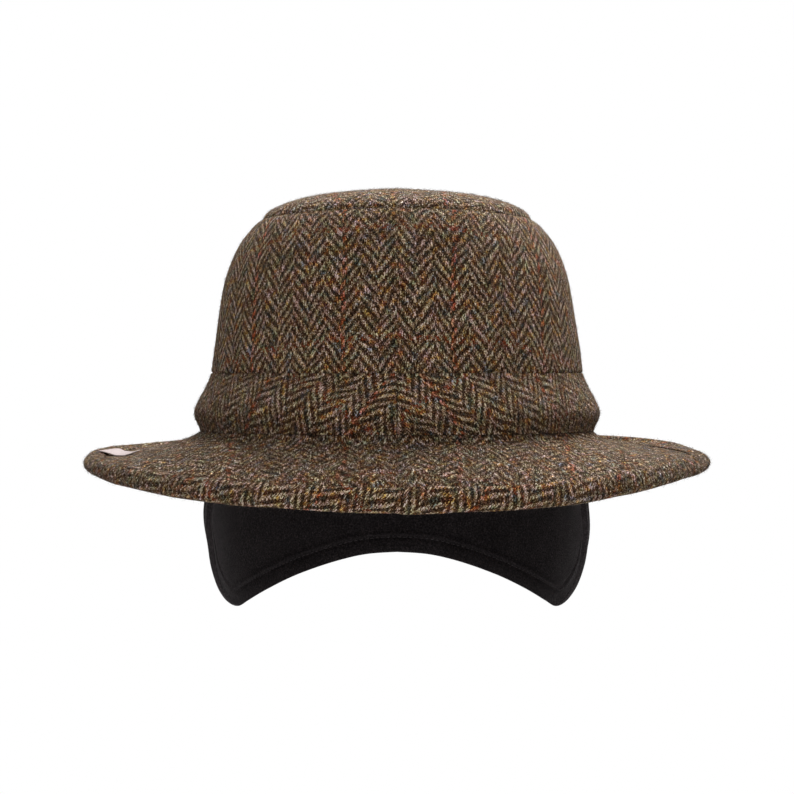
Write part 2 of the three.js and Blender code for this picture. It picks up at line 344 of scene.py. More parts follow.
def tweedMaterial(name, napShare, worn, fibreSize=1.0, wander=1.0, bright=1.0):
    material, tree, shader = newMaterial(name)
    fibres, specks, patches = tweed["fibres"], tweed["specks"], tweed["patches"]
    nap, tufts, cover = tweed["nap"], tweed["napTufts"], tweed["napCover"]
    heather, tints, slices = tweed["heather"], tweed["tints"], tweed["slices"]
    cloth = result(tree, "ShaderNodeUVMap", uv_map=clothMap)
    x, y, _ = swayed(cloth, wander)
    weave = herringbone(x, y)
    # loose woollen fibres run up the cloth, leaning with the twill
    sheared = vector(x + y * weave["way"] * fibres["lean"], y)

    def fibreNoise(kind, detail, roughness):
        place = scaled(sheared, kind["across"] / fibreSize, kind["along"] / fibreSize, 1.0)
        return noise(place, 1.0, detail, roughness)

    fibre = fibreNoise(fibres, 3.0, 0.75)
    colour = yarnColour(cloth, x, y, sheared, weave)
    # nap: raised fibres that hide the weave here and there
    place = inMillimetres(tree)
    flecks = scaled(place, *[size / fibreSize for size in nap["flecks"]])
    napColour = palette(stretched(noise(flecks, tufts["scale"], 1.0), tufts["spread"]), tweed["warp"])
    napLevel = powerOfTwo(noise(flecks, 1.0, 2.0, 0.6), nap["contrast"])
    napColour = shaded(napColour, [napLevel**power * nap["level"] for power in nap["powers"]])
    # handling raises more of it towards the worn places
    axes = dict(zip("XYZ", axesOf(place)))
    napMost = 2 * napShare
    for axis, start, end, share in worn:
        wanted = {0: axes[axis].do("ABSOLUTE"), 1: start, 2: end, 3: 0.0, 4: 2 * share}
        napMost = result(tree, "ShaderNodeMapRange", wanted).do("MAXIMUM", napMost)
    napped = (noise(cloth, cover["scale"], 2.0, 0.6) * napMost).do("MINIMUM", 1.0)
    colour = mixColour(napped, colour, napColour)
    tintMix = stretched(noise(vector(x, y, slices["tint"]), heather["scale"], 2.0, 0.6), tints["spread"])
    colour = mixColour(1.0, colour, mixColour(tintMix, tints["plum"], tints["olive"]), "MULTIPLY")
    # shade between the yarns, and fibres that catch more or less light
    warpLevel = weave["warpHeight"] * tweed["warpLevel"][0] + tweed["warpLevel"][1]
    weftLevel = weave["weftHeight"] * tweed["weftLevel"][0] + tweed["weftLevel"][1]
    wanted = {"Vector": vector(weave["end"], weave["repeat"], slices["float"])}
    floatDraw = result(tree, "ShaderNodeTexWhiteNoise", wanted, noise_dimensions="3D")
    warpLevel = warpLevel * powerOfTwo(floatDraw, tweed["floatContrast"])
    level = mixFloat(weave["warpUp"], weftLevel, warpLevel)
    level = mixFloat(napped * cover["softens"], level, cover["level"])
    level = level * powerOfTwo(fibre, fibres["contrast"])
    level = level * powerOfTwo(fibreNoise(specks, 0.0, 0.5), specks["contrast"])
    level = level * powerOfTwo(noise(cloth, patches["scale"], 3.0, 0.7), patches["contrast"])
    # bright above 1 paints light on the whole finish, as for the top piece lit from above
    level = level.do("SMOOTH_MIN", tweed["brightest"], 1.0) * bright
    # deep places are warm brown, bright fibres nearly grey
    colour = shaded(colour, [level**power for power in tweed["shadePowers"]])
    height = mixFloat(weave["warpUp"], weave["weftHeight"] * 0.6, weave["warpHeight"])
    coat(shader, {
        "Base Color": colour,
        "Normal": relief(height + stretched(fibre, 2.0), 0.8, 0.3),
        "Roughness": 0.95,
        "Specular IOR Level": 0.05,
        "Sheen Weight": 0.04,
        "Sheen Roughness": 0.45,
        "Sheen Tint": rgb(*tweed["sheenTint"]),
    })
    return material


fleece = {
    "colour": (38, 34, 35),
    "grain": 1.3,  # tufts per millimetre
    "contrast": 6.5,
    "patches": {"scale": 0.07, "contrast": 1.2},
    "sheenTint": (176, 170, 172),
}


def fleeceMaterial():
    material, tree, shader = newMaterial("fleece")
    place = inMillimetres(tree)
    tufts = noise(place, fleece["grain"], 2.0, 0.65)
    patches = powerOfTwo(noise(place, fleece["patches"]["scale"]), fleece["patches"]["contrast"])
    level = powerOfTwo(tufts, fleece["contrast"]) * patches
    coat(shader, {
        "Base Color": shaded(rgb(*fleece["colour"]), [level] * 3),
        "Normal": relief(tufts, 0.9, 0.5),
        "Roughness": 0.9,
        "Specular IOR Level": 0.1,
        "Sheen Weight": 0.4,
        "Sheen Roughness": 0.2,
        "Sheen Tint": rgb(*fleece["sheenTint"]),
    })
    return material


ribbon = {
    "light": (176, 162, 159),
    "shade": (138, 118, 116),
    "ribs": 2.4,  # cross ribs per millimetre
    "wear": 0.5,  # scale of its worn patches
}


def ribbonMaterial():
    material, tree, shader = newMaterial("ribbon")
    cloth = result(tree, "ShaderNodeUVMap", uv_map=clothMap)
    x, y, _ = axesOf(cloth)
    ribs = (x * (fullTurn * ribbon["ribs"])).do("SINE")
    threads = (y * (2 * fullTurn * ribbon["ribs"])).do("SINE")
    weave = ribs * threads * 0.35 + 0.5
    share = noise(cloth, ribbon["wear"], 3.0) * 0.5 + weave * 0.5
    coat(shader, {
        "Base Color": mixColour(share, rgb(*ribbon["shade"]), rgb(*ribbon["light"])),
        "Normal": relief(weave, 0.5, 0.1),
        "Roughness": 0.6,
        "Sheen Weight": 0.1,
    })
    return material


def fibreMaterial(name, dark, light, grain):
    # loose fibres and thread: shade changes from one to the next
    material, tree, shader = newMaterial(name)
    share = stretched(noise(inMillimetres(tree), grain, 2.0, 0.7), 2.2)
    colour = mixColour(share, rgb(*dark), rgb(*light))
    coat(shader, {"Base Color": colour, "Roughness": 0.8, "Specular IOR Level": 0.2})
    return material


# worn places: axis, distance from the middle where wear starts and is full, share of nap there
sideWear = [("Z", 45, 92, 0.45), ("X", 45, 84, 0.5)]
brimWear = [("X", 0, 125, 0.95)]
bandWear = [("X", 20, 88, 0.7)]
edgeWear = [("X", 30, 125, 0.8)]
finishes = {
    "tweed": tweedMaterial("tweed", 0.24, sideWear, wander=1.4),
    # bright: painted light from above, which makes the top piece lighter than the sides
    "topTweedPaintedLight": tweedMaterial("topTweedPaintedLight", 0.55, [], fibreSize=1.3, wander=2.0, bright=1.13),
    "brimTweed": tweedMaterial("brimTweed", 0.6, brimWear, fibreSize=1.4, wander=2.2),
    "bandTweed": tweedMaterial("bandTweed", 0.22, bandWear, wander=1.4),
    "edgeTweed": tweedMaterial("edgeTweed", 0.15, edgeWear),
    "fleece": fleeceMaterial(),
    "ribbon": ribbonMaterial(),
    "tweedFibre": fibreMaterial("tweedFibre", (40, 30, 23), (150, 133, 117), 0.5),
    "blackThread": fibreMaterial("blackThread", (40, 37, 38), (88, 83, 84), 1.5),
}
print("finishes made:", len(finishes))


# Shapes


def through(rows, places, column=1):
    # smooth curve through a column of rows, without overshoot between them
    x, y = np.array(rows, float)[:, [0, column]].T
    steps = np.diff(x)
    slopes = np.diff(y) / steps
    product = slopes[:-1] * slopes[1:]
    total = np.where(product > 0, slopes[:-1] + slopes[1:], 1.0)
    tangent = np.concatenate([slopes[:1], np.where(product > 0, 2 * product / total, 0.0), slopes[-1:]])
    at = np.clip(np.searchsorted(x, places, side="right") - 1, 0, len(steps) - 1)
    t = (places - x[at]) / steps[at]
    rise = y[at] * (1 + 2 * t) * (1 - t) ** 2 + y[at + 1] * t * t * (3 - 2 * t)
    return rise + steps[at] * (tangent[at] * t * (1 - t) ** 2 + tangent[at + 1] * t * t * (t - 1))


def turns(steps):
    # angles from the back round the front to the back again, without the last one
    return np.linspace(-math.pi, math.pi, steps, endpoint=False)


def onOval(angle, halfWidth, z, extra=ovalExtra):
    x = halfWidth * np.sin(angle)
    y = -(halfWidth + extra) * np.cos(angle)
    return np.stack(np.broadcast_arrays(x, y, z), -1)


def waviness(angle, z, amount, seed):
    # slow, shallow unevenness of hand-shaped cloth
    wavesRound = (2, 3, 5, 7, 11)
    waveHeights = (25, 70)
    draw = np.random.default_rng(seed)
    total = 0.0
    for waves in wavesRound:
        height = draw.uniform(*waveHeights)
        lean = draw.uniform(0, fullTurn)
        total = total + np.sin(waves * angle + fullTurn * z / height + lean) / math.sqrt(waves)
    return amount * total / 2


def outward(points):
    # unit normals to the right of an outline's direction
    along = np.gradient(points, axis=0)
    along /= np.linalg.norm(along, axis=1, keepdims=True)
    return np.stack([along[:, 1], -along[:, 0]], 1)


def roundEnd(start, end, direction, steps, blunt=1.0):
    # half circle, or a flatter curve, from one face of a wall to the other
    middle, spoke = (start + end) / 2, (start - end) / 2
    reach = blunt * np.linalg.norm(spoke) * direction / np.linalg.norm(direction)
    angles = math.pi * np.arange(1, steps + 1) / (steps + 1)
    return middle + np.outer(np.cos(angles), spoke) + np.outer(np.sin(angles), reach)


def wallLoop(outer, inner, rimSteps, blunt=1.0):
    # closed outline of a wall: outer face upwards, rim, inner face downwards, rim
    top = roundEnd(outer[-1], inner[-1], outer[-1] - outer[-2], rimSteps, blunt)
    foot = roundEnd(inner[0], outer[0], outer[0] - outer[1], rimSteps)
    return np.concatenate([outer, top, inner[::-1], foot])


def lengthAlong(points):
    return np.concatenate([[0.0], np.cumsum(np.linalg.norm(np.diff(points, axis=0), axis=1))])


def atLengths(points, length, wanted):
    return np.stack([np.interp(wanted, length, points[:, k]) for k in range(2)], 1)


def trimmed(points, fromStart, fromEnd):
    # an outline without its first and last few millimetres
    edgeRow = 0.15  # a narrow last row holds each edge
    length = lengthAlong(points)
    start, end = fromStart, length[-1] - fromEnd
    inside = (length > start + 2 * edgeRow) & (length < end - 2 * edgeRow)
    kept = np.concatenate([[start, start + edgeRow], length[inside], [end - edgeRow, end]])
    return atLengths(points, length, kept)


def loopLength(outer, rimSteps, zero, rim=0.0):
    # cloth length for each point of a wall's loop: the inner face repeats the outer one
    length = lengthAlong(outer) - zero
    turned = rim * np.arange(1, rimSteps + 1) / rimSteps
    top, foot = length[-1] + turned, length[0] - turned[::-1]
    return np.concatenate([length, top, length[::-1], foot])


def columnLengths(grid):
    # distance from the first section, for every point
    steps = np.linalg.norm(np.diff(grid, axis=0), axis=2)
    return np.concatenate([np.zeros((1, grid.shape[1])), np.cumsum(steps, axis=0)])


def ringLength(grid):
    # distance round the hat from its front, for every point of a closed ring of sections
    total = columnLengths(np.concatenate([grid, grid[:1]]))
    return total - total[len(grid) // 2]


def newObject(name, data):
    piece = bpy.data.objects.new(name, data)
    scene.collection.objects.link(piece)
    return piece


def wallPiece(name, grid, cloth, finish, outerCount, rimSteps, ring=True):
    # a solid through sections of a wall: grid holds a closed loop of points for each section
    count, loop = grid.shape[:2]
    spans = count if ring else count - 1
    i, j = np.meshgrid(np.arange(spans), np.arange(loop), indexing="ij")
    nextI, nextJ = (i + 1) % count, (j + 1) % loop
    corners = [i * loop + j, nextI * loop + j, nextI * loop + nextJ, i * loop + nextJ]
    faces = np.stack(corners, -1).reshape(-1, 4)
    places = [(i, j), (i + 1, j), (i + 1, nextJ), (i, nextJ)]
    uvs = np.stack([cloth[a, b] for a, b in places], 2).reshape(-1, 2)
    outside = (j < outerCount - 1).ravel()
    if not ring:
        ends, endUvs = endFaces(count, loop, outerCount, rimSteps, cloth)
        faces = np.concatenate([faces, ends])
        uvs = np.concatenate([uvs, endUvs])
        outside = np.concatenate([outside, np.zeros(len(ends), bool)])
    mesh = bpy.data.meshes.new(name)
    mesh.from_pydata((grid.reshape(-1, 3) * mm).tolist(), [], faces.tolist())
    layer = mesh.uv_layers.new(name=clothMap)
    layer.uv.foreach_set("vector", uvs.astype(np.float32).ravel())
    mark = mesh.attributes.new(outsideFaces, "BOOLEAN", "FACE")
    mark.data.foreach_set("value", outside)
    mesh.shade_smooth()
    mesh.materials.append(finishes[finish])
    return newObject(name, mesh)


def endFaces(count, loop, outerCount, rimSteps, cloth):
    # close the two ends of an open wall with strips from face to face
    half = np.arange(-(rimSteps // 2), outerCount - 1 + rimSteps // 2)
    near, far = half % loop, (half + 1) % loop
    nearBack = (2 * outerCount + rimSteps - 1 - half) % loop
    farBack = (2 * outerCount + rimSteps - 2 - half) % loop
    first = np.stack([near, far, farBack, nearBack], 1)
    last = (count - 1) * loop + first[:, ::-1]
    firstUv = cloth[0][first].reshape(-1, 2)
    lastUv = cloth[count - 1][first[:, ::-1]].reshape(-1, 2)
    return np.concatenate([first, last]), np.concatenate([firstUv, lastUv])


def mergeDoubles(piece):
    work = bmesh.new()
    work.from_mesh(piece.data)
    bmesh.ops.remove_doubles(work, verts=work.verts, dist=0.002 * mm)
    work.to_mesh(piece.data)
    work.free()


def dress(piece, slot, *nodes):
    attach(piece, "root")
    if nodes:
        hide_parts(*nodes)


# Geometry Nodes helpers


socketKinds = {float: "NodeSocketFloat", int: "NodeSocketInt", bpy.types.Material: "NodeSocketMaterial"}


def nodeModifier(piece, name, sizes):
    # an empty tree on the piece, with a named input for each size
    tree = bpy.data.node_groups.new(name, "GeometryNodeTree")
    for way in ("INPUT", "OUTPUT"):
        tree.interface.new_socket("Geometry", in_out=way, socket_type="NodeSocketGeometry")
    keys = {}
    for title, value in sizes.items():
        socket = tree.interface.new_socket(title, in_out="INPUT", socket_type=socketKinds[type(value)])
        keys[title] = socket.identifier
    modifier = piece.modifiers.new(name, "NODES")
    modifier.node_group = tree
    for title, value in sizes.items():
        modifier[keys[title]] = value
    source = addNode(tree, "NodeGroupInput")
    given = {socket.name: Output(tree, socket) for socket in source.outputs if socket.name}
    return tree, given, addNode(tree, "NodeGroupOutput")


def finishTree(output, geometry, material):
    tree = geometry.tree
    smooth = result(tree, "GeometryNodeSetShadeSmooth", {"Geometry": geometry})
    whole = result(tree, "GeometryNodeRealizeInstances", {"Geometry": smooth})
    coloured = result(tree, "GeometryNodeSetMaterial", {"Geometry": whole, "Material": material})
    feed(output.inputs[0], coloured)


def storeValue(geometry, name, value, kind, domain):
    wanted = {"Geometry": geometry, "Name": name, "Value": value}
    return result(geometry.tree, "GeometryNodeStoreNamedAttribute", wanted, data_type=kind, domain=domain)


def settle(piece):
    # the evaluated result becomes the piece's plain mesh
    bpy.context.view_layer.update()
    graph = bpy.context.evaluated_depsgraph_get()
    shown = piece.evaluated_get(graph)
    mesh = bpy.data.meshes.new_from_object(shown, preserve_all_data_layers=True, depsgraph=graph)
    piece.modifiers.clear()
    piece.data = mesh
    return piece


# Crown


crown = {
    "cloth": 2.0,
    "rows": 84,
    "around": 400,
    "rim": 6,
    "topRise": 2.0,  # the top edge stands this much higher at front and back
    "topLonger": 3.0,  # and reaches this much further there
    "seamRoll": 0.03,  # the cloth ends this much short of the top seam and rolls in
    "seamBlunt": 0.03,  # round ends this flat meet there
    "seamGap": 0.05,
    "backSeam": {"depth": 0.7, "width": 0.9},
    "uneven": 0.35,
    "seed": 4,
    "overBand": 26.0,  # height where the crown comes out of its band
    "calm": 12.0,  # unevenness dies out over this height at the seams
    "fan": 420.0,  # the side is cut as a fan of this radius, so its weave droops towards the back
    "spread": 0.12,  # share by which steaming opened the weave at the sides
    # height over the brim seam, and how far the face lies inside the head's half-width
    "sections": [
        (-2.5, 0.0), (0.6, -0.9), (3.5, -1.8), (7.5, -crownSwell), (12.5, -0.7), (18.0, 2.1), (24.2, 4.7),
        (25.4, 3.1), (28.0, 3.4), (46.0, 5.8), (64.0, 8.8), (74.5, 12.3), (82.0, 16.1), (88.0, 20.8),
        (90.4, 23.2), (91.8, 25.6),
    ],
}
crownFoot = crown["sections"][0][0]
seamHeight = crown["sections"][-1][0]


def crownFace(z):
    # half-width of the crown's outer face
    return headHalfWidth - through(crown["sections"], z)


def riseAt(angle, z):
    share = np.maximum(0.0, z / seamHeight)
    return crown["topRise"] * share * share * np.cos(angle) ** 2


def lengthExtra(z):
    # the ovals grow longer towards the top
    share = np.clip((z - crown["overBand"]) / (seamHeight - crown["overBand"]), 0, 1)
    return ovalExtra + crown["topLonger"] * share * share


def makeCrownSide():
    z = np.linspace(crownFoot, seamHeight, crown["rows"])
    outer = trimmed(np.stack([crownFace(z), z], 1), 0.0, crown["seamRoll"])
    inner = outer - crown["cloth"] * outward(outer)
    loop = wallLoop(outer, inner, crown["rim"], crown["seamBlunt"])
    z = loop[:, 1]
    angle = turns(crown["around"])[:, None]
    lowCalm = np.clip((z - crown["overBand"]) / crown["calm"], 0, 1)
    highCalm = np.clip((seamHeight - z) / crown["calm"], 0, 1)
    halfWidth = loop[:, 0] + lowCalm * highCalm * waviness(angle, z, crown["uneven"], crown["seed"])
    fromBack = (math.pi - np.abs(angle)) * frontReach
    seam = crown["backSeam"]
    halfWidth = halfWidth - seam["depth"] * np.exp(-((fromBack / seam["width"]) ** 2))
    grid = onOval(angle, halfWidth, z + riseAt(angle, z), lengthExtra(z))
    arc = ringLength(grid)
    zero = np.interp(0.0, outer[:, 1], lengthAlong(outer))
    length = loopLength(outer, crown["rim"], zero, crown["cloth"])
    around = arc[-1] - arc[0]
    opened = arc + crown["spread"] * around / (2 * fullTurn) * np.sin(2 * fullTurn * arc / around)
    radius = crown["fan"] - length
    turn = opened / (1 + crown["spread"]) / radius
    cloth = np.stack([radius * np.sin(turn), crown["fan"] - radius * np.cos(turn)], -1)
    return wallPiece("crown_cloth", grid, cloth, "tweed", len(outer), crown["rim"])


tip = {
    "rows": 56,
    "crowding": 1.35,  # rows lie closer together near the seam
    # share of the seam's half-width, and rise over the seam
    "sections": [
        (0.0, 11.15), (0.2, 11.1), (0.41, 10.75), (0.61, 9.85), (0.77, 8.1), (0.885, 5.8), (0.951, 3.9),
        (0.99, 1.5), (1.0, 0.0),
    ],
    "uneven": 0.3,
    "unevenLength": 40.0,
    "seed": 9,
    "calmEdge": 0.3,  # unevenness dies out over these shares at the seam and in the middle
    "calmMiddle": 0.4,
    "shift": (3.4, 2.2),  # its weave doesn't meet the side's
}


def makeCrownTip():
    # starts one gap past the crown side's upper edge, and turns in there as the side does
    step = 0.5
    onward = np.array([crownFace(seamHeight) - crownFace(seamHeight - step), step])
    onward *= crown["seamGap"] / np.linalg.norm(onward)
    edge = np.array([crownFace(seamHeight), seamHeight]) + onward
    share = 1 - np.linspace(0, 1, tip["rows"]) ** tip["crowding"]
    outer = np.stack([edge[0] * share, edge[1] + through(tip["sections"], share)], 1)
    outer = trimmed(outer, crown["seamRoll"], 0.0)
    inner = outer - crown["cloth"] * outward(outer)
    inner[-1, 0] = 0.0
    foot = roundEnd(inner[0], outer[0], outer[0] - outer[1], crown["rim"], crown["seamBlunt"])
    loop = np.concatenate([outer, inner[::-1], foot])
    angle = turns(crown["around"])[:, None]
    place = loop[:, 0] / edge[0]
    lift = riseAt(angle, seamHeight) * place + crown["topRise"] / 2 * (1 - place)
    calm = np.clip((1 - place) / tip["calmEdge"], 0, 1) * np.clip(place / tip["calmMiddle"], 0, 1)
    lift = lift + calm * waviness(angle, tip["unevenLength"] * place, tip["uneven"], tip["seed"])
    x = loop[:, 0] * np.sin(angle)
    y = -place * (edge[0] + lengthExtra(seamHeight)) * np.cos(angle)
    grid = np.stack(np.broadcast_arrays(x, y, loop[:, 1] + lift), -1)
    # the weave is measured over the dome, from its middle
    fromTop = lengthAlong(outer[::-1])[::-1]
    turnedIn = fromTop[0] + crown["cloth"] * np.arange(crown["rim"], 0, -1) / crown["rim"]
    length = np.concatenate([fromTop, fromTop[::-1], turnedIn])
    nearMiddle = 0.01
    spread = np.where(loop[:, 0] > nearMiddle, length / np.maximum(loop[:, 0], nearMiddle), 1.0)
    flat = grid[..., :2] * spread[None, :, None] * np.array([1.0, -1.0]) + np.array(tip["shift"])
    cloth = np.concatenate([flat, flat[:1]])
    piece = wallPiece("crown_top", grid, cloth, "topTweedPaintedLight", len(outer), crown["rim"])
    mergeDoubles(piece)
    return piece


crownSide = makeCrownSide()
dress(crownSide, "tweed", "crown_side")
crownTop = makeCrownTip()
dress(crownTop, "tweed", "crown_tip")
print("crown made:", len(crownSide.data.polygons) + len(crownTop.data.polygons), "faces")


# Band


band = {
    "height": 24.6,
    "edge": 0.5,  # room for its round edges
    # height, and thickness: drawn in just over the brim
    "sections": [
        (0.0, 1.0), (1.3, 0.7), (2.6, 0.8), (5.0, 1.75), (8.0, 2.3), (13.0, 1.75), (18.0, 1.55), (22.0, 1.7),
        (24.6, 1.6),
    ],
    "rows": 26,
    "around": 240,
    "rim": 6,
    "seamWidth": 1.6,  # the bias strip rolls down into its seams over this width
    "seamDepth": 1.1,
    "uneven": 0.45,
    "seed": 17,
    "bias": 56.0,  # degrees of the warp from level
    "shift": {"left": 0.6, "right": 40.4},  # where the overcheck falls on each half
}


def makeBandHalf(name, side):
    sign = 1 if side == "left" else -1
    z = np.linspace(band["edge"], band["height"] - band["edge"], band["rows"])
    face = np.stack([crownFace(z), z], 1)
    normals = outward(face)
    start = gap / 2 / frontReach
    angle = np.linspace(start, math.pi - start, band["around"])
    if sign < 0:
        angle = -angle[::-1]
    fromSeam = np.minimum(np.abs(angle), math.pi - np.abs(angle)) * frontReach
    roll = 1 - np.clip(fromSeam / band["seamWidth"], 0, 1)
    plain = gap + through(band["sections"], z)
    fullness = np.sin(math.pi * (z - z[0]) / (z[-1] - z[0]))
    sections = []
    for a, dip in zip(angle, roll):
        puff = waviness(a, z, band["uneven"], band["seed"]) * fullness
        thick = plain - band["seamDepth"] * (1 - math.sqrt(1 - dip * dip)) + puff * (1 - dip)
        outer = face + normals * thick[:, None]
        sections.append(wallLoop(outer, face + normals * gap, band["rim"]))
    loops = np.stack(sections)
    grid = onOval(angle[:, None], loops[..., 0], loops[..., 1])
    arc = columnLengths(grid)
    if sign < 0:
        arc = arc - arc[-1]
    up = sign * loopLength(face, band["rim"], -z[0])
    # cut on the bias: the two halves mirror each other at the front seam
    bias = math.radians(band["bias"])
    u = arc * math.sin(bias) + up * math.cos(bias) + band["shift"][side]
    v = arc * math.cos(bias) - up * math.sin(bias)
    cloth = np.stack([u, v], -1)
    return wallPiece(name, grid, cloth, "bandTweed", band["rows"], band["rim"], ring=False)


bandLeft = makeBandHalf("band_strip_left", "left")
dress(bandLeft, "tweed_bias", "band_left")
bandRight = makeBandHalf("band_strip_right", "right")
dress(bandRight, "tweed_bias", "band_right")
print("band made")


# Brim


seatHeight = 0.5
brim = {
    "cloth": 2.4,
    "seat": float(crownFace(np.array([seatHeight]))[0] + gap),  # half-width of its inner edge
    "around": 360,
    "slopeRows": 40,
    "lipRows": 12,
    "lipBend": {"out": 0.8, "down": 0.3},
    # degrees from the front, then width, fall, sag and swell of the slope, width and drop of the lip
    "columns": ("Slope", "Fall", "Sag", "Swell", "Lip", "Drop"),
    "places": [
        (-180, 47.0, 8.5, 0.0, 0.0, 6.0, -2.5),
        (-145, 47.0, 9.2, 0.0, 0.0, 5.8, -2.0),
        (-120, 47.0, 10.4, 0.8, 0.6, 5.4, -1.0),
        (-105, 46.4, 10.7, 2.8, 1.1, 5.0, -0.4),
        (-90, 45.2, 11.4, 4.1, 1.2, 4.8, 1.4),
        (-75, 44.6, 12.4, 3.4, 1.0, 4.5, 3.2),
        (-60, 43.3, 14.4, 1.4, 0.4, 4.3, 4.6),
        (-45, 41.7, 16.6, 0.5, 0.0, 4.1, 6.0),
        (-20, 39.6, 18.6, 0.0, 0.0, 4.0, 7.6),
        (0, 39.0, 19.2, 0.0, 0.0, 4.0, 8.4),
        (20, 39.6, 18.8, 0.0, 0.0, 4.0, 7.9),
        (45, 41.7, 16.1, 0.5, 0.0, 4.1, 6.1),
        (60, 43.3, 13.0, 1.4, -0.2, 4.3, 4.9),
        (75, 44.6, 11.2, 2.6, -0.4, 4.5, 3.5),
        (90, 45.4, 10.9, 3.0, -0.7, 4.6, 2.0),
        (105, 46.4, 10.2, 2.0, -0.9, 5.0, 0.2),
        (120, 47.0, 8.9, 0.6, -0.6, 5.4, -1.4),
        (145, 47.0, 8.3, 0.0, -0.2, 5.8, -2.4),
        (180, 47.0, 8.5, 0.0, 0.0, 6.0, -2.5),
    ],
    # share of the slope's width, share of its fall
    "slope": [(0.09, 0.17), (0.27, 0.33), (0.52, 0.53), (0.77, 0.75)],
    "swellPeak": 9.5,  # brings the swell's highest place to 1
    "uneven": 0.7,
    "unevenScale": 0.025,
}
brimRows = brim["slopeRows"] + brim["lipRows"] + 1
brimAngles = [row[0] for row in brim["places"]]


def brimColumn(column):
    at = 1 + brim["columns"].index(column)
    return [row[at] for row in brim["places"]]


def floatCurve(place, points):
    # a smooth curve from 0 to 1 through points, its first and last ones included
    curve = addNode(place.tree, "ShaderNodeFloatCurve", {"Value": place})
    line = curve.mapping.curves[0].points
    line[0].location, line[1].location = points[0], points[-1]
    for x, y in points[1:-1]:
        line.new(x, y)
    curve.mapping.update()
    return Output(place.tree, curve.outputs[0])


def makeBrim():
    sizes = {"Seat": brim["seat"], "Oval Extra": float(ovalExtra), "Uneven": brim["uneven"]}
    for column in brim["columns"]:
        sizes["Least " + column] = min(brimColumn(column))
        sizes["Greatest " + column] = max(brimColumn(column))
    sizes["Cloth"] = finishes["brimTweed"]
    piece = newObject("brim_cloth", bpy.data.meshes.new("brim_cloth"))
    tree, given, output = nodeModifier(piece, "brimSheet", sizes)
    wanted = {"Vertices X": brim["around"] + 1, "Vertices Y": brimRows}
    sheet = addNode(tree, "GeometryNodeMeshGrid", wanted)
    turn, across, _ = axesOf(Output(tree, sheet.outputs["UV Map"]))
    angle = (turn - 0.5) * fullTurn

    def roundTheBrim(column):
        # a value of the table, running smoothly round the hat
        low, high = sizes["Least " + column], sizes["Greatest " + column]
        shares = [(value - low) / (high - low) for value in brimColumn(column)]
        points = [(degrees / 360 + 0.5, share) for degrees, share in zip(brimAngles, shares)]
        span = given["Greatest " + column] - given["Least " + column]
        return floatCurve(turn, points) * span + given["Least " + column]

    slopeShare = brim["slopeRows"] / (brimRows - 1)
    onSlope = (across / slopeShare).do("MINIMUM", 1.0)
    onLip = ((across - slopeShare) / (1 - slopeShare)).do("MAXIMUM", 0.0)
    fallen = floatCurve(onSlope, [(0, 0), *brim["slope"], (1, 1)])
    sagged = onSlope * (1.0 - onSlope) * 4.0
    # the swell is highest near the band
    swelled = onSlope * (1.0 - onSlope) ** 3.0 * brim["swellPeak"]
    middle = onLip * (1.0 - onLip) * 2.0
    lipOut = middle * brim["lipBend"]["out"] + onLip * onLip
    lipDown = middle * brim["lipBend"]["down"] + onLip * onLip
    out = roundTheBrim("Slope") * onSlope + roundTheBrim("Lip") * lipOut
    down = roundTheBrim("Fall") * fallen + roundTheBrim("Sag") * sagged
    down = down - roundTheBrim("Swell") * swelled + roundTheBrim("Drop") * lipDown
    halfWidth = given["Seat"] + out
    x = halfWidth * angle.do("SINE")
    y = (halfWidth + given["Oval Extra"]) * angle.do("COSINE") * -1.0
    # the inner half is held by the crown
    free = (onSlope * 2.0).do("SMOOTH_MIN", 1.0, 0.3)
    sway = (noise(vector(x, y), brim["unevenScale"], 1.0) - 0.5) * given["Uneven"] * (free * 2.0)
    wanted = {
        "Geometry": Output(tree, sheet.outputs["Mesh"]),
        "Position": scaled(vector(x, y, sway - down), mm, mm, mm),
    }
    shaped = result(tree, "GeometryNodeSetPosition", wanted)
    mapped = storeValue(shaped, clothMap, vector(x, y * -1.0), "FLOAT2", "CORNER")
    marked = storeValue(mapped, outsideFaces, True, "BOOLEAN", "FACE")
    turned = result(tree, "GeometryNodeFlipFaces", {"Mesh": marked})
    wanted = {"Geometry": turned, "Distance": 0.01 * mm}
    finishTree(output, result(tree, "GeometryNodeMergeByDistance", wanted), given["Cloth"])
    thick = piece.modifiers.new("thickness", "SOLIDIFY")
    thick.thickness = brim["cloth"] * mm
    thick.offset = -1
    return settle(piece)


brimCloth = makeBrim()
dress(brimCloth, "tweed", "brim")
brimTop = np.zeros(len(brimCloth.data.vertices) * 3)
brimCloth.data.vertices.foreach_get("co", brimTop)
brimTop = brimTop.reshape(-1, 3)[: brim["around"] * brimRows].reshape(brim["around"], brimRows, 3) / mm
# the thickness copied the mark to the under side too
leastUpward = 0.2
upperSide = [face.normal.z > leastUpward for face in brimCloth.data.polygons]
brimCloth.data.attributes[outsideFaces].data.foreach_set("value", upperSide)
print("brim made:", len(brimCloth.data.polygons), "faces")


# Binding


binding = {
    "cloth": 1.0,
    "width": 7.4,  # on each face of the brim
    "clear": 0.1,
    "puff": 0.3,
    "puffRound": 0.6,
    "press": 0.45,  # stitching thins its edges by this much
    "pressWidth": 2.4,
    "rows": 16,
    "rim": 4,
    "fold": 10,
    "shift": 6.0,  # where the overcheck falls
    # degrees from the front, where its two ends overlap
    "joint": {"from": 0.5, "to": 9.5, "ramp": 0.6, "extra": 0.5},
}


def bindingFace(upper, clearance):
    # along the upper side of the brim, round its edge and back along the under side
    normals = outward(upper)
    above = upper - clearance * normals
    under = upper + (brim["cloth"] + clearance) * normals
    # the outline runs outwards, so its right-hand side is the under side
    turn = roundEnd(above[-1], under[-1], upper[-1] - upper[-2], binding["fold"])
    return np.concatenate([above, turn, under[::-1]])


